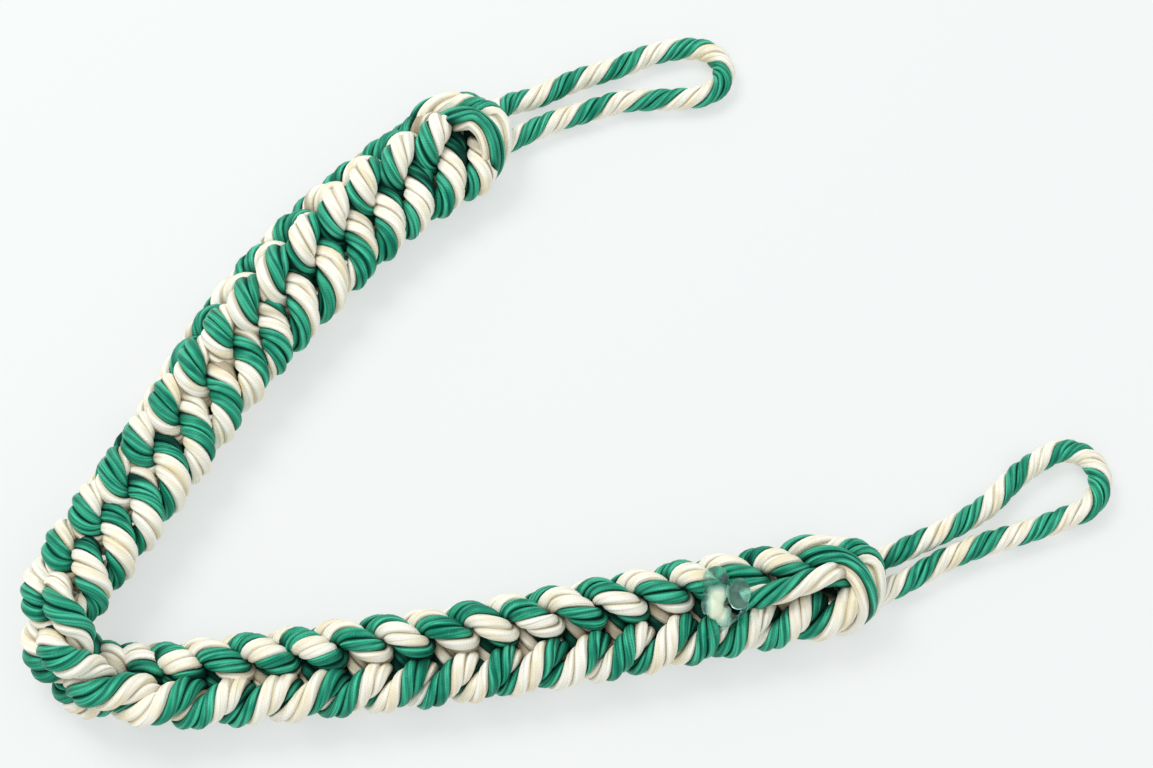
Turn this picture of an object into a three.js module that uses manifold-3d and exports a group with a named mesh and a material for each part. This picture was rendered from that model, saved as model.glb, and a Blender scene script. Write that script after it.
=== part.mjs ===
// Uniform lanyard: one soft twisted cord worked into a chain plait, with a single-cord eye at each end.
// It lies on a table in a V. Millimetres, +X to the right, +Y away, +Z up, table top at z = 0.

import * as THREE from 'three';
import Module from 'manifold-3d';

const wasm = await Module();
wasm.setup();
const { Manifold, Mesh } = wasm;

// Sizes
const middle = [-0.053, 4.981, 0];
const cordWidth = 5.6;
const eyeWidth = 5.3;
const stitchUnit = 5.72;
const routeStep = 15;
const flatDepth = 0.8;
const meetingGap = 0.3;
const tidyBy = 0.03;
const plaitStep = 7.1;
const turnStep = 4;
const eyeStep = 4.5;
const plaitSides = 6;
const eyeSides = 8;

// One stitch of the chain: a bight comes up through the bight before it, runs forward as one leg,
// turns round the neck of the next bight and comes back as the other leg, then passes behind.
// Along in stitches, across and up in stitch units.
const stitch = [
  [0.00, -0.38, -0.77], [0.20, -0.44, -0.14], [0.16, -0.48, 0.69], [0.73, -1.04, 0.84],
  [1.04, -1.39, 0.42], [1.64, -1.18, -0.07], [1.65, -0.32, 0.03], [1.75, 0.47, -0.01],
  [1.55, 1.28, -0.02], [1.03, 1.35, 0.52], [0.69, 0.87, 0.85], [0.18, 0.36, 0.58], [0.14, 0.48, -0.30],
  [0.44, 0.29, -0.80],
];

// Where each stitch starts along the plait, from the lower end. The first row is the stitch before
// stitch 0, of which only the head and the second leg are there.
const stitchStart = [
  9.4, 19.0, 29.6, 39.5, 47.4, 57.0, 66.2, 75.1, 85.3, 93.4, 103.2, 112.0, 121.5, 131.3, 141.2, 151.2,
  160.5, 169.9, 178.8, 188.9, 199.5, 208.6, 217.9, 227.7, 236.6, 247.1, 257.3, 266.0, 274.9, 284.6,
  294.7, 304.0, 312.8, 322.4, 331.7, 339.6, 347.4,
];
const stitchCount = 34;
const firstFrom = 5;
const lastTo = 4;

// How far the plait is rolled over about its own length, by stitch number, in degrees.
const rollTable = [
  [-1, -12], [10, -12], [13.5, -6], [15, 20], [16, 45], [17, 72], [18, 98], [19, 122], [21, 145],
  [27, 156], [34, 170],
];

// How much wider than the plain stitch the plait is worked, by stitch number.
const girthTable = [
  [0, 1.06], [1.5, 1.13], [4.6, 1.14], [6.8, 1.1], [9, 1.04], [11.4, 1], [13.5, 0.92], [15, 0.95],
  [17, 1], [19, 1.02], [23.7, 1], [27.3, 1.06], [29.6, 1.06], [32.2, 1.12], [34, 1.1],
];

// How far the outer side of the upper arm has been pulled out, in stitch units.
const slackTable = [[15, 0], [19, 0.38], [25, 0.42], [34, 0.5]];

// Middle line of the plait on the table, one point every routeStep from the lower end.
const route = [
  [70.4, -41.6], [56.2, -46.6], [41.5, -49.4], [26.8, -52.0], [12.1, -55.1], [-2.6, -58.0],
  [-17.4, -60.6], [-32.2, -63.0], [-47.1, -64.7], [-62.0, -66.7], [-76.9, -68.2], [-91.8, -69.5],
  [-105.6, -64.9], [-108.6, -50.8], [-102.5, -37.1], [-95.0, -24.2], [-87.2, -11.4], [-79.4, 1.5],
  [-70.8, 13.8], [-61.5, 25.5], [-51.8, 37.0], [-41.2, 47.6], [-29.1, 56.3], [-16.1, 63.8],
  [-2.8, 70.9],
];

// The two turns of cord round the lower end of the plait, the upper one first.
const lowerTurn = [
  [54.4, -44.5, 4.0], [51.1, -42.5, 6.0], [50.0, -41.2, 9.5], [51.9, -40.4, 12.0], [55.4, -41.4, 12.8],
  [58.5, -44.3, 12.8], [60.1, -48.2, 12.0], [59.9, -51.7, 9.0], [58.2, -53.7, 5.5], [55.8, -54.1, 3.2],
  [53.1, -52.7, 2.8],
];

const lowerWrap = [
  [52.0, -40.0, 4.0], [53.6, -37.6, 5.5], [57.0, -36.7, 7.0], [60.5, -38.4, 7.8], [62.9, -41.6, 8.0],
  [63.4, -45.7, 7.5], [62.4, -49.3, 5.5], [60.0, -51.4, 3.0],
];

// The last turn of cord round the upper end, and back up under itself into the plait.
const upperTurn = [
  [-33.9, 59.0, 5.0], [-35.6, 61.6, 8.0], [-34.7, 64.9, 10.5], [-31.0, 67.2, 12.0],
  [-25.1, 67.3, 12.3], [-19.6, 64.8, 11.7], [-16.9, 60.6, 10.0], [-16.9, 56.5, 7.5],
  [-18.1, 53.7, 4.4], [-20.4, 50.8, 3.2], [-22.4, 48.5, 4.8], [-23.2, 49.7, 8.5], [-23.8, 52.5, 11.0],
  [-24.6, 56.8, 9.0], [-25.3, 61.1, 5.0],
];

// The eye at the upper end, from under the last bight, out along the table and back under it.
const upperEye = [
  [-23.4, 62.1, 6.5], [-20.3, 66.5, 4.4], [-17.0, 70.1, 3.0], [-13.5, 71.5, 2.8], [-9.6, 72.6, 2.7],
  [-2.2, 76.3, 2.7], [4.5, 78.9, 2.7], [11.3, 81.3, 2.7], [18.0, 84.2, 2.7], [24.8, 85.5, 2.7],
  [30.1, 84.9, 2.7], [33.8, 81.5, 2.7], [33.7, 76.8, 2.7], [30.4, 73.7, 2.7], [24.6, 72.4, 2.7],
  [17.2, 72.1, 2.7], [10.0, 71.6, 2.7], [4.5, 69.8, 2.7], [-2.9, 67.4, 2.7], [-8.9, 64.8, 2.8],
  [-13.4, 62.5, 2.8], [-17.1, 60.3, 3.0], [-20.7, 57.6, 4.4], [-24.2, 54.7, 6.5],
];

// The eye at the lower end. Its second leg runs on as the cord's tail in the hollow of the plait.
const lowerEye = [
  [55.9, -47.1, 5.0], [59.1, -43.9, 4.0], [62.3, -41.1, 3.0], [66.1, -39.2, 2.8], [70.1, -37.6, 2.7],
  [76.7, -34.4, 2.7], [82.7, -31.4, 2.7], [89.2, -27.3, 2.7], [95.5, -21.0, 2.7], [100.7, -17.1, 2.7],
  [105.9, -14.5, 2.7], [110.7, -15.4, 2.7], [113.6, -18.5, 2.7], [114.1, -22.9, 2.7],
  [111.6, -27.3, 2.7], [106.7, -29.8, 2.7], [101.1, -31.9, 2.7], [95.1, -33.9, 2.7],
  [88.3, -36.0, 2.7], [81.2, -38.7, 2.7], [73.3, -43.0, 2.7], [67.8, -46.0, 2.8], [63.8, -47.7, 3.4],
  [60.1, -48.3, 6.0], [57.5, -46.6, 9.0], [54.8, -46.1, 12.8], [50.8, -47.6, 14.8],
  [46.5, -49.4, 15.0], [42.3, -50.6, 14.5], [38.6, -51.2, 13.0], [35.6, -51.5, 11.0],
];

// Dried clear glue over the end of the tail: middle and half sizes of each drop.
const glueDrops = [
  { middle: [30.8, -47.8, 14.8], half: [2.7, 3.6, 3.0] },
  { middle: [34.6, -50.6, 15.6], half: [2.6, 2.9, 2.6] },
  { middle: [31.0, -52.4, 14.6], half: [2.2, 3.2, 2.4] },
];

const radius = cordWidth / 2;
const eyeRadius = eyeWidth / 2;
const toVector = (point) => new THREE.Vector3(point[0], point[1], point[2] ?? 0);
const up = new THREE.Vector3(0, 0, 1);

// Value at u in a table of [u, value] rows, straight between rows.
function fromTable(table, u) {
  let row = 1;
  while (row < table.length - 1 && u > table[row][0]) row += 1;
  const [u0, v0] = table[row - 1];
  const [u1, v1] = table[row];
  const share = Math.min(Math.max((u - u0) / (u1 - u0), 0), 1);
  return v0 + (v1 - v0) * share;
}

// Distance along the plait for a stitch number with its fraction.
function stationAt(u) {
  const last = stitchStart.length - 2;
  const row = Math.min(Math.max(Math.floor(u) + 1, 0), last);
  const step = stitchStart[row + 1] - stitchStart[row];
  return stitchStart[row] + step * (u + 1 - row);
}

const routeCurve = new THREE.CatmullRomCurve3(route.map(toVector), false, 'catmullrom', 0.5);
const routeLast = (route.length - 1) * routeStep;

function routeAt(station) {
  return routeCurve.getPoint(Math.min(Math.max(station / routeLast, 0), 1));
}

// Share of a value between two bounds, eased at both.
function eased(value, low, high) {
  const share = Math.min(Math.max((value - low) / (high - low), 0), 1);
  return share * share * (3 - 2 * share);
}

// Height of the middle line that sets the rolled plait down on the table.
function restHeight(roll, fullness) {
  const lowest = Math.min(...stitch.map((p) => Math.sin(roll) * p[1] + Math.cos(roll) * p[2]));
  return -lowest * fullness * stitchUnit * 0.93 + radius - flatDepth;
}

// A stitch point set in its place on the table.
function placePoint(u, across, rise) {
  const station = stationAt(u);
  const ahead = routeAt(station + 0.5);
  const travel = ahead.sub(routeAt(station - 0.5)).normalize();
  const left = up.clone().cross(travel);
  const roll = THREE.MathUtils.degToRad(fromTable(rollTable, u));
  const girth = fromTable(girthTable, u);
  const fullness = Math.min(girth, 1.02);
  const sideways = Math.cos(roll) * across - Math.sin(roll) * rise;
  const pulled = sideways + fromTable(slackTable, u) * eased(sideways, -1.05, -0.1);
  const upward = Math.sin(roll) * across + Math.cos(roll) * rise;
  const place = routeAt(station).addScaledVector(left, pulled * girth * stitchUnit);
  place.z = restHeight(roll, fullness) + upward * fullness * stitchUnit;
  return place;
}

// Points on the smooth line that the control points steer, one for each control point.
function smoothLine(controls) {
  const line = [];
  for (let i = 1; i < controls.length - 1; i += 1) {
    const point = controls[i].clone().multiplyScalar(4);
    point.add(controls[i - 1]).add(controls[i + 1]).divideScalar(6);
    line.push(point);
  }
  return line;
}

// Rings of points square to a line, carried along it without twisting.
function ringsAlong(line, sides, ringRadius) {
  const rings = [];
  let normal = null;
  for (let i = 0; i < line.length; i += 1) {
    const before = line[Math.max(i - 1, 0)];
    const after = line[Math.min(i + 1, line.length - 1)];
    const tangent = after.clone().sub(before).normalize();
    if (!normal) normal = up.clone();
    normal.addScaledVector(tangent, -normal.dot(tangent)).normalize();
    const side = tangent.clone().cross(normal);
    const ring = [];
    for (let k = 0; k < sides; k += 1) {
      const angle = ((k + 0.5) / sides) * Math.PI * 2;
      const point = line[i].clone();
      point.addScaledVector(normal, Math.cos(angle) * ringRadius);
      point.addScaledVector(side, Math.sin(angle) * ringRadius);
      ring.push([point.x, point.y, point.z]);
    }
    rings.push(ring);
  }
  return rings;
}

// A solid cord along a line: each pair of rings is hulled and the lengths are joined.
function cordSolid(line, sides, ringRadius) {
  const rings = ringsAlong(line, sides, ringRadius);
  const lengths = [];
  for (let i = 0; i < rings.length - 1; i += 1) {
    lengths.push(Manifold.hull([...rings[i], ...rings[i + 1]]));
  }
  return Manifold.union(lengths);
}

// A plain tube along a line that stays clear of itself, closed at both ends.
function tubeSolid(line, sides, ringRadius) {
  const rings = ringsAlong(line, sides, ringRadius);
  const points = rings.flat();
  const faces = [];
  for (let i = 0; i < rings.length - 1; i += 1) {
    for (let k = 0; k < sides; k += 1) {
      const here = i * sides + k;
      const beside = i * sides + ((k + 1) % sides);
      faces.push([here, beside, beside + sides], [here, beside + sides, here + sides]);
    }
  }
  const last = (rings.length - 1) * sides;
  for (let k = 1; k < sides - 1; k += 1) {
    faces.push([0, k + 1, k], [last, last + k, last + k + 1]);
  }
  const vertProperties = new Float32Array(points.flat());
  return new Manifold(new Mesh({ numProp: 3, vertProperties, triVerts: new Uint32Array(faces.flat()) }));
}

// Points along a curve through route points, evenly spaced.
function evenLine(points, spacing) {
  const curve = new THREE.CatmullRomCurve3(points, false, 'centripetal');
  curve.arcLengthDivisions = points.length * 12;
  return curve.getSpacedPoints(Math.round(curve.getLength() / spacing));
}

// The chain plait
const controls = [];
for (let k = -1; k < stitchCount; k += 1) {
  const from = k < 0 ? firstFrom : 0;
  const to = k === stitchCount - 1 ? lastTo : stitch.length;
  for (const [along, across, rise] of stitch.slice(from, to)) {
    controls.push(placePoint(k + along, across, rise));
  }
}
const chainLine = evenLine(smoothLine(controls), plaitStep);
const chainSolid = cordSolid(chainLine, plaitSides, radius);
const turns = [lowerTurn, lowerWrap, upperTurn];
const turnSolids = turns.map((turn) => cordSolid(evenLine(turn.map(toVector), turnStep), plaitSides, radius));

// The eyes, and the room they need where they pass through the plait
const upperLine = evenLine(upperEye.map(toVector), eyeStep);
const lowerLine = evenLine(lowerEye.map(toVector), eyeStep);
const tableCut = Manifold.cube([400, 400, 40], true).translate([0, 0, -20]);
const upperEyeSolid = tubeSolid(upperLine, eyeSides, eyeRadius);
const lowerEyeSolid = tubeSolid(lowerLine, eyeSides, eyeRadius);
const upperRoom = cordSolid(upperLine, eyeSides, eyeRadius + meetingGap);
const lowerRoom = cordSolid(lowerLine, eyeSides, eyeRadius + meetingGap);

// Keeps the one outer body and drops closed-in pockets and loose crumbs.
function outerBody(solid) {
  const bodies = solid.decompose();
  bodies.sort((a, b) => b.volume() - a.volume());
  return bodies[0];
}

const roughPlait = Manifold.union([chainSolid, ...turnSolids]).subtract(upperRoom).subtract(lowerRoom);
const tidied = outerBody(roughPlait.subtract(tableCut)).simplify(tidyBy);
const plaitSolid = outerBody(tidied);

// The glue, lying on the cords under it
const drops = glueDrops.map(({ middle, half }) => Manifold.sphere(1, 14).scale(half).translate(middle));
const glueRoom = [cordSolid(chainLine, plaitSides, radius + meetingGap / 2), lowerRoom];
const glueSolid = outerBody(Manifold.union(drops).subtract(Manifold.union(glueRoom)).simplify(tidyBy));

function meshFrom(name, solid, colour) {
  const source = solid.getMesh();
  const geometry = new THREE.BufferGeometry();
  const positions = new Float32Array(source.numVert * 3);
  for (let i = 0; i < source.numVert; i += 1) {
    for (let axis = 0; axis < 3; axis += 1) {
      positions[i * 3 + axis] = source.vertProperties[i * source.numProp + axis] - middle[axis];
    }
  }
  geometry.setAttribute('position', new THREE.BufferAttribute(positions, 3));
  geometry.setIndex(new THREE.BufferAttribute(new Uint32Array(source.triVerts), 1));
  geometry.computeVertexNormals();
  const material = new THREE.MeshStandardMaterial({ color: colour, roughness: 0.6 });
  const mesh = new THREE.Mesh(geometry, material);
  mesh.name = name;
  return mesh;
}

const group = new THREE.Group();
group.name = 'uniform_lanyard';
group.add(meshFrom('plait', plaitSolid, 0x2f9f72));
group.add(meshFrom('upper_eye', upperEyeSolid, 0xe8dfc8));
group.add(meshFrom('lower_eye', lowerEyeSolid, 0xe8dfc8));
group.add(meshFrom('glue_drops', glueSolid, 0xc4ddd8));

export default group;
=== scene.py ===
import bmesh
import bpy
import math
import numpy as np
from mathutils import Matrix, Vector
from mathutils.bvhtree import BVHTree


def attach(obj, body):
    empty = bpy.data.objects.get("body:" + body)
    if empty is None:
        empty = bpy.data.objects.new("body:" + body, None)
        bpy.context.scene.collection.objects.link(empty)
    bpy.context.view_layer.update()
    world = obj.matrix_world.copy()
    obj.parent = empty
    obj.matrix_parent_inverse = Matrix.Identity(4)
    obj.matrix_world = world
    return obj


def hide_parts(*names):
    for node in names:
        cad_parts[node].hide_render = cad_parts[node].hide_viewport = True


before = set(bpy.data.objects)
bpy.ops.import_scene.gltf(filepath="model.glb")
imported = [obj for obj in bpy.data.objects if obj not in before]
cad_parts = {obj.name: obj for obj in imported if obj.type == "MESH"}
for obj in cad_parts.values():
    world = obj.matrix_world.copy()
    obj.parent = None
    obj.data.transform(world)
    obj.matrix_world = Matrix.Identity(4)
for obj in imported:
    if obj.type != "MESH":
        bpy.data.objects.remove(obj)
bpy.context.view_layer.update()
bpy.ops.object.select_all(action='DESELECT')
print('frame loaded')

mm = 0.001
middle = np.array([-0.053, 4.981, 0.0])  # the spot on the table, in mm, that is the frame's origin
up = np.array([0.0, 0.0, 1.0])


def place(points):  # millimetres on the table to metres in the frame
    return (np.asarray(points, float) - middle) * mm


# a long lens that looks steeply down on the table from the front
cameraPlan = {
    'lens': 85.0,
    'sensor': 36.0,
    'clip': (0.01, 20.0),       # metres
    'elevation': 68.0,
    'target': (0.0, 0.0, 6.0),  # mm on the table
    'distance': 598.9,
}


def towardCamera(plan):
    tilt = math.radians(plan['elevation'])
    return np.array([0.0, -math.cos(tilt), math.sin(tilt)])


def addCamera(plan):
    data = bpy.data.cameras.new('camera')
    data.lens = plan['lens']
    data.sensor_width = plan['sensor']
    data.clip_start, data.clip_end = plan['clip']
    camera = bpy.data.objects.new('camera', data)
    bpy.context.scene.collection.objects.link(camera)
    back = towardCamera(plan) * plan['distance']
    camera.location = place(np.array(plan['target']) + back)
    camera.rotation_euler = (math.pi / 2 - math.radians(plan['elevation']), 0.0, 0.0)
    bpy.context.scene.camera = camera


addCamera(cameraPlan)

floorPlan = {
    'size': 6.0,  # metres
    'colour': (0.30, 0.307, 0.304, 1.0),
    'glow': (0.545, 0.557, 0.553, 1.0),  # the bright tabletop gives back light of its own
    'roughness': 0.75,
}


def addFloor(plan):
    bpy.ops.mesh.primitive_plane_add(size=plan['size'], location=(0.0, 0.0, 0.0))
    floor = bpy.context.object
    floor.name = 'floor'
    material = bpy.data.materials.new('tabletop')
    material.use_nodes = True
    shader = material.node_tree.nodes['Principled BSDF']
    shader.inputs['Base Color'].default_value = plan['colour']
    shader.inputs['Emission Color'].default_value = plan['glow']
    shader.inputs['Emission Strength'].default_value = 1.0
    shader.inputs['Roughness'].default_value = plan['roughness']
    floor.data.materials.append(material)


addFloor(floorPlan)

# a soft window light from behind on the left and a faint fill; metres and watts
lightPlan = {
    'sky': (0.95, 0.98, 1.0, 1.0),
    'skyStrength': 0.8,
    'window': {
        'place': (-0.5, 0.5, 0.95),
        'size': 0.6,
        'power': 6.5,
        'colour': (1.0, 0.99, 0.97),
    },
    'fill': {
        'place': (0.5, -0.4, 0.9),
        'size': 0.9,
        'power': 1.0,
        'colour': (0.96, 0.98, 1.0),
    },
}


def addLamp(name, plan):  # a round lamp that faces the origin
    data = bpy.data.lights.new(name, 'AREA')
    data.shape = 'DISK'
    data.size = plan['size']
    data.energy = plan['power']
    data.color = plan['colour']
    lamp = bpy.data.objects.new(name, data)
    bpy.context.scene.collection.objects.link(lamp)
    x, y, z = plan['place']
    lamp.location = (x, y, z)
    lamp.rotation_euler = (0.0, math.atan2(math.hypot(x, y), z), math.atan2(y, x))


def addLight(plan):
    world = bpy.data.worlds.new('room')
    bpy.context.scene.world = world
    world.use_nodes = True
    sky = world.node_tree.nodes['Background']
    sky.inputs['Color'].default_value = plan['sky']
    sky.inputs['Strength'].default_value = plan['skyStrength']
    addLamp('window', plan['window'])
    addLamp('fill', plan['fill'])
    bpy.context.scene.view_settings.view_transform = 'Standard'


addLight(lightPlan)
print('camera, floor and light set')

# the chain plait: u counts its stitches from the lower end, a station is mm along its route
cordPlan = {
    'stitchUnit': 5.72,   # mm in one unit of the stitch tables
    'routeStep': 15.0,    # mm from one route point to the next
    'radius': 2.8,
    'flatDepth': 0.8,     # how far the cord is pressed flat where it rests
    'settled': 0.93,      # how much of its half height a stitch keeps when it rests
    'fullest': 1.02,      # past this girth a stitch gets wider and no higher
    'stitchCount': 34,
    'firstFrom': 5,       # the stitch before the first has only the rows from this one on
    'lastTo': 4,          # the last stitch has only the rows before this one
    'perControl': 8,      # points of the line for each row
    'turnsPerStitch': 5,  # how often the yarns wind round the cord in a stitch
}

# one stitch: along in stitches, across and up in stitch units; the lower arm shows its face
stitchFace = np.array([
    [0.00, -0.78, -0.77], [0.16, -0.62, -0.24], [0.18, -0.16, 0.66], [0.70, -0.95, 0.90],
    [1.04, -1.39, 0.42], [1.64, -1.18, -0.07], [1.65, -0.32, 0.03], [1.75, 0.47, -0.01],
    [1.55, 1.28, -0.02], [1.03, 1.35, 0.52], [0.69, 0.87, 0.85], [0.20, 0.20, 0.62],
    [0.10, 0.66, -0.34], [0.42, 0.70, -0.80],
])

# the same stitch on the upper arm, which is rolled over and shows its back
stitchBack = np.array([
    [0.00, -0.38, -0.77], [0.20, -0.44, -0.14], [0.16, -0.48, 0.69], [0.73, -1.04, 0.84],
    [1.04, -1.39, 0.42], [2.04, -1.10, -0.05], [2.18, -0.32, 0.03], [1.86, 0.47, -0.01],
    [1.26, 1.28, -0.02], [0.90, 1.35, 0.52], [0.69, 0.87, 0.85], [0.18, 0.36, 0.58],
    [0.14, 0.48, -0.30], [0.44, 0.29, -0.80],
])

# the station of each stitch, from the one before the first
stitchStart = np.array([
    9.4, 19.0, 29.6, 39.5, 47.4, 57.0, 66.2, 75.1, 85.3, 93.4, 103.2, 112.0, 121.5, 131.3,
    141.2, 151.2, 160.5, 169.9, 178.8, 188.9, 199.5, 208.6, 217.9, 227.7, 236.6, 247.1, 257.3,
    266.0, 274.9, 284.6, 294.7, 304.0, 312.8, 322.4, 331.7, 339.6, 347.4,
])

# the middle line of the plait on the table, from the lower end
route = np.array([
    [70.4, -41.6], [56.2, -46.6], [41.5, -49.4], [26.8, -52.0], [12.1, -55.1], [-2.6, -58.0],
    [-17.4, -60.6], [-32.2, -63.0], [-47.1, -64.7], [-62.0, -66.7], [-76.9, -68.2],
    [-91.8, -69.5], [-105.6, -64.9], [-108.6, -50.8], [-102.5, -37.1], [-95.0, -24.2],
    [-87.2, -11.4], [-79.4, 1.5], [-70.8, 13.8], [-61.5, 25.5], [-51.8, 37.0], [-41.2, 47.6],
    [-29.1, 56.3], [-16.1, 63.8], [-2.8, 70.9],
])

# how far the plait is rolled over, in degrees, and how thick it is worked, both by stitch
rollTable = [
    (-1, -12), (10, -12), (13.5, -6), (15, 20), (16, 45), (17, 72), (18, 98), (19, 122),
    (21, 145), (27, 156), (34, 170),
]
girthTable = [
    (0, 1.06), (1.5, 1.13), (4.6, 1.14), (6.8, 1.1), (9, 1.04), (11.4, 1), (13.5, 0.92),
    (15, 0.95), (17, 1), (19, 1.02), (23.7, 1), (27.3, 1.06), (29.6, 1.06), (32.2, 1.12),
    (34, 1.1),
]
backFrom = [(13, 0), (17, 1)]  # from which stitch on the back of the stitch shows

# past the bend the plait lies spread: how far each part of a stitch is pulled sideways, by its
# place across, and from which stitch on; near the upper end the far edge bulges out as well
pullTable = [(-1.1, -0.25), (-0.27, 0.45), (0.15, 0.52), (0.71, 0.3), (1.05, 0.45)]
pullFrom = [(15, 0), (19, 1)]
edgeTable = [(0.6, 0), (1.1, 1)]
edgeFrom = [(23, 0), (26, 0.34), (28.5, 0.34), (31, 0)]

# how far the cord's own twist has crept round by each half stitch, in degrees
creep = [
    80, 78, 375, 172, -26, 105, 306, 195, 346, 388, 493, 594, 617, 715, 837, 735, 816, 1005,
    1083, 1240, 1263, 1380, 1442, 1561, 1736, 1359, 1748, 1507, 1740, 1946, 1995, 1720, 1989,
    1888, 2264, 1991, 2080, 2008, 2243, 2163, 2162, 2191, 2211, 2257, 2175, 2155, 2293, 2335,
    2145, 2364, 2218, 2279, 2281, 2448, 2236, 2062, 2383, 2093, 2403, 2391, 2452, 2462, 2492,
    2530, 2429, 2447, 2520, 2475, 2529, 2462, 2458,
]


def fromTable(table, u):
    rows = np.array(table, float)
    return np.interp(u, rows[:, 0], rows[:, 1])


def unit(vectors):
    return vectors / np.linalg.norm(vectors, axis=-1, keepdims=True)


def distanceAlong(line):
    steps = np.linalg.norm(np.diff(line, axis=0), axis=1)
    return np.concatenate([[0.0], np.cumsum(steps)])


def withEnds(points):  # one more point before the first and after the last
    return np.vstack([2 * points[0] - points[1], points, 2 * points[-1] - points[-2]])


def routeAt(station):  # the uniform spline through the route's points
    last = len(route) - 1
    position = np.clip(np.atleast_1d(station) / cordPlan['routeStep'], 0.0, last)
    row = np.minimum(np.floor(position).astype(int), last - 1)
    part = (position - row)[:, None]
    a, b, c, d = (withEnds(route)[row + i] for i in range(4))
    bend = (c - a) * part + (2 * a - 5 * b + 4 * c - d) * part ** 2
    flat = b + 0.5 * (bend + (3 * b - a - 3 * c + d) * part ** 3)
    return np.column_stack([flat, np.zeros(len(flat))])


def stationAt(u):
    row = np.clip(np.floor(u).astype(int) + 1, 0, len(stitchStart) - 2)
    return stitchStart[row] + (stitchStart[row + 1] - stitchStart[row]) * (u + 1 - row)


def travelAt(u):  # the way the plait runs
    station = stationAt(u)
    return unit(routeAt(station + 0.5) - routeAt(station - 0.5))


def placeStitch(u, across, rise):  # rows of a stitch set in their place on the table
    size = cordPlan['stitchUnit']
    roll = np.radians(fromTable(rollTable, u))
    girth = fromTable(girthTable, u)
    fullness = np.minimum(girth, cordPlan['fullest'])
    rolled = np.sin(roll)[:, None] * stitchBack[:, 1] + np.cos(roll)[:, None] * stitchBack[:, 2]
    lowest = rolled.min(axis=1)
    height = -lowest * fullness * size * cordPlan['settled']
    height = height + cordPlan['radius'] - cordPlan['flatDepth']
    sideways = np.cos(roll) * across - np.sin(roll) * rise
    upward = np.sin(roll) * across + np.cos(roll) * rise
    pulled = sideways + fromTable(pullTable, sideways) * fromTable(pullFrom, u)
    pulled = pulled + fromTable(edgeTable, sideways) * fromTable(edgeFrom, u)
    left = np.cross(up, travelAt(u))
    spot = routeAt(stationAt(u)) + left * (pulled * girth * size)[:, None]
    spot[:, 2] = height + upward * fullness * size
    return spot


def steered(controls, steps):  # the smooth line that a row of control points steers
    part = np.arange(steps) / steps
    weights = np.stack([
        (1 - part) ** 3, 3 * part ** 3 - 6 * part ** 2 + 4,
        -3 * part ** 3 + 3 * part ** 2 + 3 * part + 1, part ** 3,
    ], axis=1) / 6
    return np.concatenate([weights @ controls[i:i + 4] for i in range(len(controls) - 3)])


def framesAlong(line):  # directions square to a line, carried along it without twisting
    along = unit(np.gradient(line, axis=0))
    side = np.zeros_like(line)
    last = np.array([0.0, 0.3, 1.0])  # any direction that isn't the line's own
    for i, step in enumerate(along):
        last = last - step * last.dot(step)
        last = last / np.linalg.norm(last)
        side[i] = last
    return along, side, np.cross(along, side)


def chainLine():  # the middle line of the cord in the plait, and the stitch at each point of it
    controls, steps = [], []
    for k in range(-1, cordPlan['stitchCount']):
        begin = cordPlan['firstFrom'] if k < 0 else 0
        end = cordPlan['lastTo'] if k == cordPlan['stitchCount'] - 1 else len(stitchFace)
        back = fromTable(backFrom, k)
        rows = ((1 - back) * stitchFace + back * stitchBack)[begin:end]
        controls.append(placeStitch(k + rows[:, 0], rows[:, 1], rows[:, 2]))
        steps.extend(k + i / len(stitchFace) for i in range(begin, end))
    line = steered(np.vstack(controls), cordPlan['perControl'])
    count = steered(np.array(steps)[:, None], cordPlan['perControl'])[:, 0]
    return line, count


def chainTwist(line, count):  # the angle of the cord's first yarn at each point of the chain
    along, side, rest = framesAlong(line)
    first = (len(stitchFace) - cordPlan['firstFrom']) * cordPlan['perControl']
    starts = np.arange(first, len(line), len(stitchFace) * cordPlan['perControl'])
    angles = []
    for i, travel in zip(starts, travelAt(count[starts])):
        flat = travel - along[i] * travel.dot(along[i])
        angles.append(math.atan2(flat.dot(rest[i]), flat.dot(side[i])))
    distance = distanceAlong(line)
    marks = distance[starts]
    stitches = np.interp(distance, marks, np.arange(len(starts)))
    before, after = distance < marks[0], distance > marks[-1]
    stitches[before] = ((distance - marks[0]) / (marks[1] - marks[0]))[before]
    beyond = (distance - marks[-1]) / (marks[-1] - marks[-2])
    stitches[after] = (len(starts) - 1 + beyond)[after]
    base = np.interp(np.arange(len(line)), starts, np.unwrap(angles))
    crept = np.radians(np.interp(stitches, np.arange(len(creep)) * 0.5 - 1, creep))
    return base + crept - 2 * math.pi * cordPlan['turnsPerStitch'] * stitches


def smoothPath(points, spacing=0.85, finer=40):  # even points on a centripetal spline
    points = np.asarray(points, float)
    gaps = np.linalg.norm(np.diff(points, axis=0), axis=1) ** 0.5
    knots = np.concatenate([[0.0], np.cumsum(gaps)])
    dense = np.linspace(0.0, knots[-1], len(points) * finer)
    row = np.clip(np.searchsorted(knots, dense, side='right') - 1, 0, len(points) - 2)
    p = [withEnds(points)[row + i] for i in range(4)]
    s = [withEnds(knots[:, None])[row + i, 0] for i in range(4)]

    def blend(a, b, sa, sb):
        return ((sb - dense) / (sb - sa))[:, None] * a + ((dense - sa) / (sb - sa))[:, None] * b

    a1, a2, a3 = (blend(p[i], p[i + 1], s[i], s[i + 1]) for i in range(3))
    b1, b2 = blend(a1, a2, s[0], s[2]), blend(a2, a3, s[1], s[3])
    fine = blend(b1, b2, s[1], s[2])
    distance = distanceAlong(fine)
    even = np.linspace(0.0, distance[-1], int(round(distance[-1] / spacing)) + 1)
    return np.column_stack([np.interp(even, distance, fine[:, i]) for i in range(3)])


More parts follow.
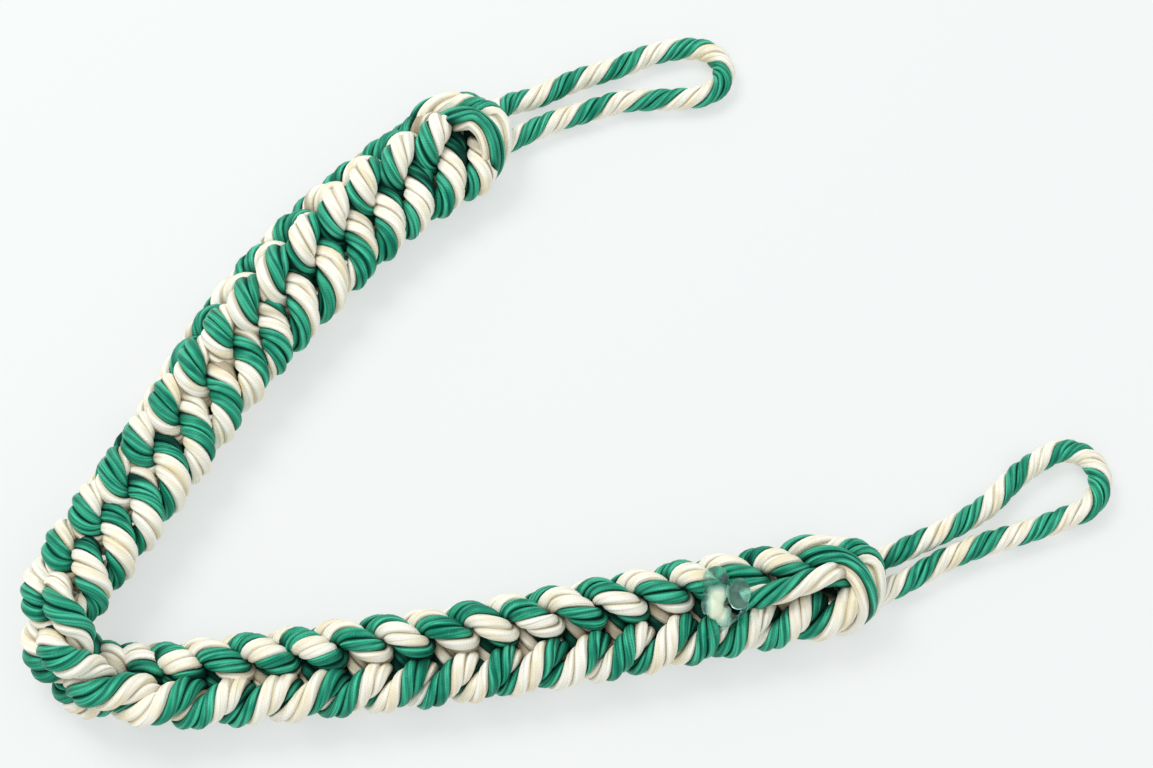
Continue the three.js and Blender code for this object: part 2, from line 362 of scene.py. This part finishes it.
# the cord is laid up from four yarns, first the two green ones; lengths in mm
yarnPlan = {
    'sides': 11,
    'offset': 1.5,               # from the middle of the cord to the middle of a yarn
    'radius': 1.3,
    'eyeOffset': 1.42,
    'eyeRadius': 1.24,
    'flatten': [(10, 0.13), (15, 0.29)],  # how much wider than high the cord is, by stitch
    'wander': 0.05,              # how far the yarns stray from their places, as a share
    'sways': (7.3, 3.1, 5.2),    # and over what lengths: twice round the cord, once outwards
    'phases': (1.9, 0.7),        # how far one yarn's sways are from the next one's, in radians
    'pressedBelow': 0.6,         # lower than this the yarns are pressed flat by the table
    'patternShift': 41.7,        # so that no two yarns are marked alike
}

hollowPlan = {
    'feelers': 20,
    'reach': 0.009,   # metres
    'lift': 0.00005,  # how far off the yarn a feeler starts
    'every': 5,       # only each fifth ring feels for itself
}

strands = []  # every yarn mesh with the ring counts of its yarns


def widened(vectors, wide):  # drawn out sideways where the cord lies flattened
    return vectors + (vectors * wide).sum(axis=-1, keepdims=True) * wide


def twistedYarns(line, angle, offset, seed, flatten):  # middle line, way out and widening of each
    along, side, rest = framesAlong(line)
    wide = np.sqrt(flatten)[:, None] * np.cross(up, along)
    distance = distanceAlong(line)
    longSway, shortSway, outSway = yarnPlan['sways']
    longPhase, shortPhase = yarnPlan['phases']
    yarns = []
    for k in range(4):
        sway = np.sin(distance / longSway + longPhase * k + seed)
        sway = sway + np.sin(distance / shortSway + shortPhase * k + 2 * seed)
        turn = angle + k * math.pi / 2 + 0.5 * yarnPlan['wander'] * sway
        out = np.cos(turn)[:, None] * side + np.sin(turn)[:, None] * rest
        stray = np.sin(distance / outSway + k + seed)
        reach = offset * (1 + 0.5 * yarnPlan['wander'] * stray)
        yarns.append((line + widened(out, wide) * reach[:, None], out, wide))
    return yarns


def yarnSkin(line, out, wide, radius):  # a ring of points round each point of a yarn's line
    along = unit(np.gradient(line, axis=0))
    normal = unit(out - along * (out * along).sum(axis=1, keepdims=True))
    rest = np.cross(along, normal)
    turn = 2 * math.pi * (np.arange(yarnPlan['sides']) / yarnPlan['sides'])
    ring = -np.cos(turn)[None, :, None] * normal[:, None, :]
    ring = ring - np.sin(turn)[None, :, None] * rest[:, None, :]
    skin = line[:, None, :] + radius * widened(ring, wide[:, None, :])
    height, low = skin[..., 2], yarnPlan['pressedBelow']
    skin[..., 2] = np.where(height < low, low * np.exp(height / low - 1), height)
    return skin


def yarnMesh(name, yarns, radius):  # yarns as closed tubes, with mm along and turns round as UV
    sides = yarnPlan['sides']
    here = np.arange(sides)[None, :]
    beside = (here + 1) % sides
    low, high = here / sides, here / sides + 1 / sides
    points, quads, caps, marks = [], [], [], []
    count = 0
    for number, (line, out, wide) in enumerate(yarns):
        points.append(place(yarnSkin(line, out, wide, radius).reshape(-1, 3)))
        rows = np.arange(len(line) - 1)[:, None] * sides + count
        corners = [rows + here, rows + beside, rows + beside + sides, rows + here + sides]
        quads.extend(np.stack(corners, -1).reshape(-1, 4).tolist())
        distance = distanceAlong(line) + number * yarnPlan['patternShift']
        start, stop = distance[:-1, None], distance[1:, None]
        grid = np.zeros((len(line) - 1, sides, 4, 2))
        grid[..., 0] = np.stack([start, start, stop, stop], -1)
        grid[..., 1] = np.stack([low, high, high, low], -1)
        marks.append(grid.reshape(-1, 2))
        end = count + (len(line) - 1) * sides
        caps.append(list(range(count, count + sides))[::-1])
        caps.append(list(range(end, end + sides)))
        count += len(line) * sides
    marks.append(np.zeros((len(caps) * sides, 2)))
    mesh = bpy.data.meshes.new(name)
    mesh.from_pydata(np.vstack(points).tolist(), [], quads + caps)
    layer = mesh.uv_layers.new(name='yarn')
    layer.data.foreach_set('uv', np.concatenate(marks).reshape(-1))
    mesh.shade_smooth()
    mesh.update()
    piece = bpy.data.objects.new(name, mesh)
    bpy.context.scene.collection.objects.link(piece)
    strands.append((piece, [len(line) for line, out, wide in yarns]))
    return piece


def feelersUp(count):  # directions spread evenly over the half ball round Z
    number = np.arange(count) + 0.5
    rise, swing = number / count, number * math.pi * (3 - math.sqrt(5))
    flat = np.sqrt(1 - rise ** 2)
    return np.column_stack([flat * np.cos(swing), flat * np.sin(swing), rise])


def shadeHollows():  # marks on each yarn how closed in it is, felt for all round, for the painted shade in the hollows
    sides = yarnPlan['sides']
    feelers = feelersUp(hollowPlan['feelers'])
    whole = bmesh.new()
    for piece, lengths in strands:
        whole.from_mesh(piece.data)
    tree = BVHTree.FromBMesh(whole)
    whole.free()

    def closedShare(spot, out):
        begin = Vector(spot) + out * hollowPlan['lift']
        turn = np.array(out.to_track_quat('Z', 'Y').to_matrix())
        hits = [tree.ray_cast(begin, feeler, hollowPlan['reach'])[0] is not None
                for feeler in (feelers @ turn.T).tolist()]
        return sum(hits) / len(hits)

    for piece, lengths in strands:
        spots = np.zeros(len(piece.data.vertices) * 3)
        normals = np.zeros(len(piece.data.vertices) * 3)
        piece.data.vertices.foreach_get('co', spots)
        piece.data.vertex_normals.foreach_get('vector', normals)
        spots = spots.reshape(-1, sides, 3)
        normals = normals.reshape(-1, sides, 3)
        marks, offset = [], 0
        for rings in lengths:
            chosen = np.unique(np.append(np.arange(0, rings, hollowPlan['every']), rings - 1))
            felt = np.array([
                [closedShare(spots[ring, side], Vector(normals[ring, side]))
                 for side in range(sides)] for ring in chosen + offset
            ])
            every = [np.interp(np.arange(rings), chosen, felt[:, side]) for side in range(sides)]
            marks.append(np.column_stack(every))
            offset += rings
        layer = piece.data.attributes.new('closed', 'FLOAT', 'POINT')
        layer.data.foreach_set('value', np.vstack(marks).reshape(-1))


class Wire:  # one shader value, which adds a node for each sum it is put in
    def __init__(self, tree, socket):
        self.tree = tree
        self.socket = socket

    def node(self, kind, links, output=0, **settings):
        made = self.tree.nodes.new(kind)
        for key, value in settings.items():
            setattr(made, key, value)
        for slot, value in links.items():
            if isinstance(value, Wire):
                self.tree.links.new(value.socket, made.inputs[slot])
            else:
                made.inputs[slot].default_value = value
        return Wire(self.tree, made.outputs[output])

    def maths(self, operation, first, second=0.0):
        return self.node('ShaderNodeMath', {0: first, 1: second}, operation=operation)

    def __add__(self, other):
        return self.maths('ADD', self, other)

    def __radd__(self, other):
        return self.maths('ADD', other, self)

    def __sub__(self, other):
        return self.maths('SUBTRACT', self, other)

    def __rsub__(self, other):
        return self.maths('SUBTRACT', other, self)

    def __mul__(self, other):
        return self.maths('MULTIPLY', self, other)

    def __rmul__(self, other):
        return self.maths('MULTIPLY', other, self)

    def __truediv__(self, other):
        return self.maths('DIVIDE', self, other)

    def __rtruediv__(self, other):
        return self.maths('DIVIDE', other, self)

    def wave(self):
        return self.maths('SINE', self * (2 * math.pi))

    def size(self):
        return self.maths('ABSOLUTE', self)

    def between(self, low, high):  # 0 below low, 1 above high
        return self.node('ShaderNodeMapRange', {0: self, 1: low, 2: high, 3: 0.0, 4: 1.0})


def newFinish(name):
    material = bpy.data.materials.new(name)
    material.use_nodes = True
    tree = material.node_tree
    return material, Wire(tree, None), tree.nodes['Principled BSDF']


def mixColours(start, share, first, second):
    def colour(value):
        return value if isinstance(value, Wire) else (*value, 1.0)
    links = {'Factor': share, 6: colour(first), 7: colour(second)}
    return start.node('ShaderNodeMix', links, output=2, data_type='RGBA')


greenYarn = {
    'colour': (0.014, 0.30, 0.16),
    # a lighter green drawn in streaks along the fibres: painted sheen
    'wornAndSheen': (0.09, 0.60, 0.38),
    # the furrows and inner sides darken towards this green: painted shade
    'grooveShade': (0.0, 0.05, 0.036),
    # the hollows darken towards this green: painted shade
    'hollowShade': (0.0, 0.014, 0.010),
    'stain': (0.0, 0.2, 0.11),
    'lines': 1.0,           # how strongly the painted shade of the furrows shows
    'roughness': 0.22,
    'glint': (0.25, 1.0, 0.72),
    'closed': (0.44, 0.82),  # how closed in it is where the shade begins, and where it is full
}

creamYarn = {
    'colour': (0.98, 0.97, 0.90),
    'wornAndSheen': (0.97, 0.92, 0.79),
    # the furrows and inner sides darken towards this cream: painted shade
    'grooveShade': (0.76, 0.67, 0.46),
    # the hollows darken towards this cream: painted shade
    'hollowShade': (0.42, 0.355, 0.23),
    'stain': (0.88, 0.77, 0.52),
    'lines': 0.45,
    'roughness': 0.37,
    'glint': (1.0, 0.98, 0.92),
    'closed': (0.58, 0.95),
}

# what both colours share; a pair of numbers is where a mark begins and where it is full
gimpPlan = {
    'fibres': (11.0, 0.06, 2.0),  # noises drawn out along the yarn: mm, turns round it, detail
    'dirt': (7.0, 0.3, 2.0),
    'drift': (14.0, 3.0, 1.0),
    'patches': {'Scale': 75.0, 'Detail': 3.0},
    'plies': 4.0,                 # each yarn is itself of a few plies
    'waver': 0.5,                 # how far they follow the drift
    'ribPitch': 0.5,              # the fine thread wrapped round the core, in mm
    'ribLean': 1.5,
    'wornAndSheen': (0.40, 0.64),
    'dirty': (0.46, 0.62),
    'patchy': (0.34, 0.54),
    'stainShare': 0.9,
    'furrow': (0.0, 0.4),         # between two plies
    'furrowShare': 0.65,
    'fine': (0.34, 0.44),         # between two fibres
    'fineShare': 0.4,
    'outer': (0.46, 0.72),        # from the inner side of the yarn, darkened with painted shade, to its outer side
    'innerShadeShare': 0.9,
    'ribShare': 0.08,
    'hollowShadeShare': 0.97,
    'bump': {'Strength': 0.8, 'Distance': 0.0004},
    'plyHeight': 0.9,
    'raised': (0.25, 0.75),       # the fibres that stand up
    'fibreHeight': 0.5,
    'ribHeight': 0.06,
    'patchHeight': 0.15,
    'dirtRoughness': 0.2,
    'dull': (0.4, 0.7),           # how closed in a spot is that has lost its gloss
    'dullRoughness': 0.5,
}


def yarnFinish(name, plan):
    make = gimpPlan
    material, start, shader = newFinish(name)
    marks = start.node('ShaderNodeUVMap', {}, uv_map='yarn')
    along = start.node('ShaderNodeSeparateXYZ', {0: marks}, output=0)
    around = start.node('ShaderNodeSeparateXYZ', {0: marks}, output=1)
    closed = start.node('ShaderNodeAttribute', {}, output=2, attribute_name='closed')
    spot = start.node('ShaderNodeTexCoord', {}, output=3)

    def noiseAlong(length, width, detail):
        drawn = start.node('ShaderNodeCombineXYZ', {0: along / length, 1: around / width, 2: 0.0})
        links = {'Vector': drawn, 'Scale': 1.0, 'Detail': detail}
        return start.node('ShaderNodeTexNoise', links)

    fibres = noiseAlong(*make['fibres'])
    dirt = noiseAlong(*make['dirt'])
    patches = start.node('ShaderNodeTexNoise', {'Vector': spot, **make['patches']})
    drift = noiseAlong(*make['drift'])
    plies = (around * make['plies'] + drift * make['waver'] + 0.5).wave() * 0.5 + 0.5
    ribs = (along / make['ribPitch'] + around * make['ribLean']).wave()
    outward = 1.0 - (around - 0.5).size() * 2.0

    # lighter streaks along the fibres: on the green yarn a painted sheen, on the cream tan streaks
    # of wear
    body = mixColours(start, fibres.between(*make['wornAndSheen']), plan['colour'], plan['wornAndSheen'])
    stained = dirt.between(*make['dirty']) * patches.between(*make['patchy'])
    body = mixColours(start, stained * make['stainShare'], body, plan['stain'])
    # painted shade: the furrows between plies and fibres, the wrap ribs and the inner side of each
    # yarn, where it lies against the others, are darkened
    lines = (1.0 - plies.between(*make['furrow'])) * make['furrowShare']
    lines = lines + (1.0 - fibres.between(*make['fine'])) * make['fineShare']
    grooveShade = (1.0 - outward.between(*make['outer'])) * make['innerShadeShare']
    grooveShade = grooveShade + (0.5 - ribs * 0.5) * make['ribShare'] + lines * plan['lines']
    body = mixColours(start, grooveShade.between(0.0, 1.0), body, plan['grooveShade'])
    # painted shade in the hollows: the more closed in a spot is, the darker its colour
    shade = closed.between(*plan['closed']) * make['hollowShadeShare']
    body = mixColours(start, shade, body, plan['hollowShade'])

    height = plies * make['plyHeight'] + fibres.between(*make['raised']) * make['fibreHeight']
    height = height + ribs * make['ribHeight'] + patches * make['patchHeight']
    bump = start.node('ShaderNodeBump', {**make['bump'], 'Height': height})
    rough = dirt * make['dirtRoughness'] + closed.between(*make['dull']) * make['dullRoughness']
    rough = rough + plan['roughness']
    start.tree.links.new(body.socket, shader.inputs['Base Color'])
    start.tree.links.new(bump.socket, shader.inputs['Normal'])
    start.tree.links.new(rough.socket, shader.inputs['Roughness'])
    shader.inputs['Specular Tint'].default_value = (*plan['glint'], 1.0)
    return material


greenRayon = yarnFinish('greenRayon', greenYarn)
creamRayon = yarnFinish('creamRayon', creamYarn)
print('yarn finishes made')

# the turns of cord that close the plait at both ends; faces say which side of the twist is in
# view at which distance along a turn: an even number is the green pair, an odd one the cream
endTurns = {
    'lowerRing': {
        'path': [
            [49.2, -44.2, 5.0], [49.3, -42.5, 9.5], [52.1, -42.2, 12.0], [56.2, -43.2, 12.8],
            [59.3, -45.8, 12.8], [60.9, -49.3, 12.0], [60.9, -51.9, 9.0], [59.5, -53.3, 5.5],
            [57.3, -53.9, 3.2], [54.8, -53.3, 2.8],
        ],
        'faces': [(4.0, 0.2), (14.0, 0.4), (22.0, 0.55), (28.0, 0.9), (34.0, 1.2)],
    },
    'lowerWrap': {
        'path': [
            [39.0, -47.0, 4.0], [41.4, -43.4, 3.4], [44.7, -40.3, 3.6], [46.7, -38.6, 5.5],
            [50.1, -38.0, 7.2], [54.3, -38.6, 7.8], [58.5, -39.0, 8.0], [61.7, -40.5, 8.0],
            [63.3, -43.4, 8.0], [63.4, -47.2, 7.5], [62.2, -50.4, 5.5], [60.2, -52.3, 3.0],
        ],
        'faces': [(11.0, -1.35), (20.4, -0.75), (24.9, 0.1), (30.9, 0.9), (42.9, 1.4)],
    },
    'upperRing': {
        'path': [
            [-30.1, 61.6, 4.0], [-30.0, 62.6, 8.5], [-27.3, 62.3, 12.0], [-23.6, 61.9, 12.8],
            [-20.7, 59.4, 12.8], [-19.1, 56.0, 12.0], [-18.9, 53.5, 9.0], [-20.1, 52.2, 5.5],
            [-22.5, 52.1, 3.2], [-25.2, 52.8, 2.8],
        ],
        'faces': [(4.0, 0.2), (14.0, 0.4), (30.0, 0.6)],
    },
    'upperWrap': {
        'path': [
            [-39.5, 57.5, 4.2], [-38.6, 60.8, 3.4], [-36.6, 63.7, 4.0], [-34.9, 66.5, 6.0],
            [-31.7, 68.0, 7.5], [-27.8, 68.3, 8.0], [-23.2, 67.2, 8.0], [-19.5, 65.7, 8.0],
            [-17.4, 62.6, 8.0], [-17.4, 58.5, 7.5], [-18.6, 55.5, 5.5], [-20.9, 53.7, 3.0],
        ],
        'faces': [(9.0, -1.35), (19.0, -0.75), (24.0, 0.2), (29.0, 1.0), (41.0, 1.5)],
    },
}


def facingTwist(line, faces):  # the angle of the first yarn that shows the sides listed in faces
    side, rest = framesAlong(line)[1:]
    toCamera = towardCamera(cameraPlan)
    facing = np.unwrap(np.arctan2(rest @ toCamera, side @ toCamera))
    distance = distanceAlong(line)
    where, halves = np.array(faces).T
    angle = np.interp(where, distance, facing) - math.pi * halves
    slope = np.diff(angle) / np.diff(where)
    twist = np.interp(distance, where, angle)
    twist = twist + np.minimum(distance - where[0], 0.0) * slope[0]
    twist = twist + np.maximum(distance - where[-1], 0.0) * slope[-1]
    return twist - math.pi / 4


def makePlait():
    line, count = chainLine()
    flatten = fromTable(yarnPlan['flatten'], count)
    twist = chainTwist(line, count)
    cords = [twistedYarns(line, twist, yarnPlan['offset'], 0.0, flatten)]
    for seed, plan in enumerate(endTurns.values(), 1):
        line = smoothPath(plan['path'])
        twist = facingTwist(line, plan['faces'])
        cords.append(twistedYarns(line, twist, yarnPlan['offset'], seed, np.zeros(len(line))))
    green = [yarn for cord in cords for yarn in cord[:2]]
    cream = [yarn for cord in cords for yarn in cord[2:]]
    for name, yarns, finish, slot in (
        ('plaitGreenYarns', green, greenRayon, 'green_rayon'),
        ('plaitCreamYarns', cream, creamRayon, 'cream_rayon'),
    ):
        piece = yarnMesh(name, yarns, yarnPlan['radius'])
        piece.data.materials.append(finish)
        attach(piece, 'root')
        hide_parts('plait')


makePlait()
print('plait made')

# the eyes: green and cream say at which distances along the cord each pair is in view
upperEye = {
    'node': 'upper_eye',
    'path': [
        [-34.0, 54.0, 3.4], [-28.5, 58.0, 4.2], [-23.4, 62.1, 5.5], [-20.3, 66.5, 4.4],
        [-17.0, 70.1, 3.0], [-13.5, 71.5, 2.8], [-9.6, 72.6, 2.7], [-2.2, 76.3, 2.7],
        [4.5, 78.9, 2.7], [11.3, 81.3, 2.7], [18.0, 84.2, 2.7], [24.8, 85.5, 2.7],
        [30.1, 84.9, 2.7], [33.8, 81.5, 2.7], [33.7, 76.8, 2.7], [30.4, 73.7, 2.7],
        [24.6, 72.4, 2.7], [17.2, 72.1, 2.7], [10.0, 71.6, 2.7], [4.5, 69.8, 2.7],
        [-2.9, 67.4, 2.7], [-8.9, 64.8, 2.8], [-13.4, 62.5, 2.8], [-17.1, 60.3, 3.0],
        [-20.7, 57.6, 3.8], [-25.2, 55.7, 4.0], [-30.5, 51.8, 3.4],
    ],
    'green': [25.4, 39.3, 54.2, 69.0, 84.2, 101.1, 116.8, 131.1, 145.4],
    'cream': [31.9, 46.8, 61.7, 76.0, 93.1, 109.2, 123.9, 137.9],
}

lowerEye = {
    'node': 'lower_eye',
    'path': [
        [55.9, -47.1, 5.0], [59.1, -43.9, 4.0], [62.3, -41.1, 3.0], [66.1, -39.2, 2.8],
        [70.1, -37.6, 2.7], [76.7, -34.4, 2.7], [82.7, -31.4, 2.7], [89.2, -27.3, 2.7],
        [95.5, -21.0, 2.7], [100.7, -17.1, 2.7], [105.9, -14.5, 2.7], [110.7, -15.4, 2.7],
        [113.6, -18.5, 2.7], [114.1, -22.9, 2.7], [111.6, -27.3, 2.7], [106.7, -29.8, 2.7],
        [101.1, -31.9, 2.7], [95.1, -33.9, 2.7], [88.3, -36.0, 2.7], [81.2, -38.7, 2.7],
        [73.3, -43.0, 2.7], [67.8, -46.0, 2.8], [63.8, -47.7, 3.4], [60.1, -48.3, 6.0],
        [57.5, -46.6, 9.0], [54.8, -46.1, 12.8], [50.8, -47.6, 14.8], [46.5, -49.4, 15.0],
        [42.3, -50.6, 14.5], [38.6, -51.2, 13.0], [35.6, -51.5, 11.0],
    ],
    'green': [17.2, 32.9, 47.9, 61.2, 75.2, 91.3, 105.2, 121.1, 136.0, 161.5],
    'cream': [25.2, 40.4, 54.7, 67.3, 84.1, 98.2, 112.6, 128.4, 150.0],
}


def makeEye(name, plan, seed):
    line = smoothPath(plan['path'])
    bands = sorted(plan['green'] + plan['cream'])
    twist = facingTwist(line, [(where, half) for half, where in enumerate(bands)])
    yarns = twistedYarns(line, twist, yarnPlan['eyeOffset'], seed, np.zeros(len(line)))
    eye = yarnMesh(name, yarns, yarnPlan['eyeRadius'])
    eye.data.materials.append(greenRayon)
    eye.data.materials.append(creamRayon)
    whose = [0, 0, 1, 1]  # which finish each yarn has: first on all their sides, then on their ends
    perYarn = (len(line) - 1) * yarnPlan['sides']
    finishes = np.concatenate([np.repeat(whose, perYarn), np.repeat(whose, 2)])
    eye.data.polygons.foreach_set('material_index', finishes)
    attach(eye, 'root')
    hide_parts(plan['node'])


makeEye('upperEyeCord', upperEye, 4.0)
makeEye('lowerEyeCord', lowerEye, 5.0)
print('eyes made')

shadeHollows()
print('hollows shaded')

# the glue over the end of the cord: drops that have run together, one lump of them milky
gluePlan = {
    'drops': [  # place and half sizes in mm, turn in degrees
        {'at': (27.3, -52.5, 14.2), 'half': (1.1, 3.0, 1.5), 'turn': -6.0},
        {'at': (28.0, -49.0, 15.0), 'half': (1.3, 3.0, 1.8), 'turn': 12.0},
        {'at': (29.4, -46.7, 15.6), 'half': (2.1, 1.5, 1.6), 'turn': 0.0},
        {'at': (30.9, -48.7, 15.4), 'half': (1.1, 2.4, 1.3), 'turn': -8.0},
        {'at': (29.6, -48.9, 15.0), 'half': (1.9, 2.4, 1.2), 'turn': 0.0},
        {'at': (29.9, -51.3, 15.4), 'half': (1.6, 2.4, 1.8), 'turn': 0.0},
        {'at': (29.0, -54.1, 14.6), 'half': (2.0, 2.6, 1.8), 'turn': 8.0},
        {'at': (30.8, -55.8, 13.8), 'half': (1.5, 2.1, 1.3), 'turn': -20.0},
        {'at': (34.1, -51.4, 15.7), 'half': (2.4, 3.5, 2.2), 'turn': -6.0},
        {'at': (35.1, -54.4, 14.0), 'half': (0.6, 2.2, 0.7), 'turn': -35.0},
        {'at': (32.8, -56.3, 13.0), 'half': (0.5, 2.9, 0.6), 'turn': -52.0},
        {'at': (29.9, -58.4, 12.0), 'half': (0.5, 2.6, 0.6), 'turn': -56.0},
        {'at': (28.2, -59.6, 11.5), 'half': (0.9, 0.7, 0.5), 'turn': 0.0},
    ],
    'segments': 24,
    'rings': 16,
    'voxel': 0.2,
    'soften': 0.6,
    'softenTimes': 6,
    'clear': (0.52, 0.90, 0.84),
    'milky': (0.84, 0.86, 0.64),
    'milkyAcross': [(0.0272, 0.0284), (0.0308, 0.0322)],    # metres: it fades in, and out again
    'milkyBack': [(-0.0632, -0.0612), (-0.0566, -0.0546)],
    'milkyShare': 0.85,
    'cloud': {'Scale': 320.0, 'Detail': 3.0},
    'cloudy': (0.4, 0.75),
    'cloudShare': 0.12,
    'curedShare': 0.9,  # how solid the milky lump is
    'curedRoughness': 0.4,
    'roughness': 0.16,
    'transmission': 0.97,
    'ior': 1.2,
    'bump': {'Strength': 0.25, 'Distance': 0.0004},
}


def shapeGlue(plan):
    blobs = []
    for drop in plan['drops']:
        bpy.ops.mesh.primitive_uv_sphere_add(segments=plan['segments'], ring_count=plan['rings'],
                                             radius=1.0, location=place(drop['at']))
        blob = bpy.context.object
        blob.scale = [half * mm for half in drop['half']]
        blob.rotation_euler = (0.0, 0.0, math.radians(drop['turn']))
        blobs.append(blob)
    bpy.ops.object.select_all(action='DESELECT')
    for blob in blobs:
        blob.select_set(True)
    bpy.context.view_layer.objects.active = blobs[0]
    bpy.ops.object.join()
    glue = bpy.context.object
    glue.name = 'driedGlue'
    bpy.ops.object.transform_apply(location=True, rotation=True, scale=True)
    melt = glue.modifiers.new('melt', 'REMESH')
    melt.mode = 'VOXEL'
    melt.voxel_size = plan['voxel'] * mm
    soften = glue.modifiers.new('soften', 'SMOOTH')
    soften.factor = plan['soften']
    soften.iterations = plan['softenTimes']
    for modifier in ('melt', 'soften'):
        bpy.ops.object.modifier_apply(modifier=modifier)
    bpy.ops.object.shade_smooth()
    return glue


def glueFinish(plan):
    material, start, shader = newFinish('driedGlue')
    spot = start.node('ShaderNodeTexCoord', {}, output=3)
    cloud = start.node('ShaderNodeTexNoise', {'Vector': spot, **plan['cloud']})
    right = start.node('ShaderNodeSeparateXYZ', {0: spot}, output=0)
    back = start.node('ShaderNodeSeparateXYZ', {0: spot}, output=1)

    def within(value, fadeIn, fadeOut):
        return value.between(*fadeIn) * (1.0 - value.between(*fadeOut))

    lump = within(right, *plan['milkyAcross']) * within(back, *plan['milkyBack'])
    haze = cloud.between(*plan['cloudy']) * plan['cloudShare']
    share = (lump * plan['milkyShare'] + haze).between(0.0, 1.0)
    mixed = mixColours(start, share, plan['clear'], plan['milky'])
    bump = start.node('ShaderNodeBump', {**plan['bump'], 'Height': cloud})
    start.tree.links.new(mixed.socket, shader.inputs['Base Color'])
    start.tree.links.new(bump.socket, shader.inputs['Normal'])
    shader.inputs['Roughness'].default_value = plan['roughness']
    shader.inputs['Transmission Weight'].default_value = plan['transmission']
    shader.inputs['IOR'].default_value = plan['ior']
    curedLook = {'Base Color': mixed, 'Roughness': plan['curedRoughness']}
    cured = start.node('ShaderNodeBsdfPrincipled', curedLook)
    glassy = Wire(start.tree, shader.outputs[0])
    looks = {0: share * plan['curedShare'], 1: glassy, 2: cured}
    surface = start.node('ShaderNodeMixShader', looks)
    outlet = start.tree.nodes['Material Output']
    start.tree.links.new(surface.socket, outlet.inputs['Surface'])
    return material


def makeGlue(plan):
    glue = shapeGlue(plan)
    glue.data.materials.clear()
    glue.data.materials.append(glueFinish(plan))
    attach(glue, 'root')
    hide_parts('glue_drops')


makeGlue(gluePlan)
print('glue made')
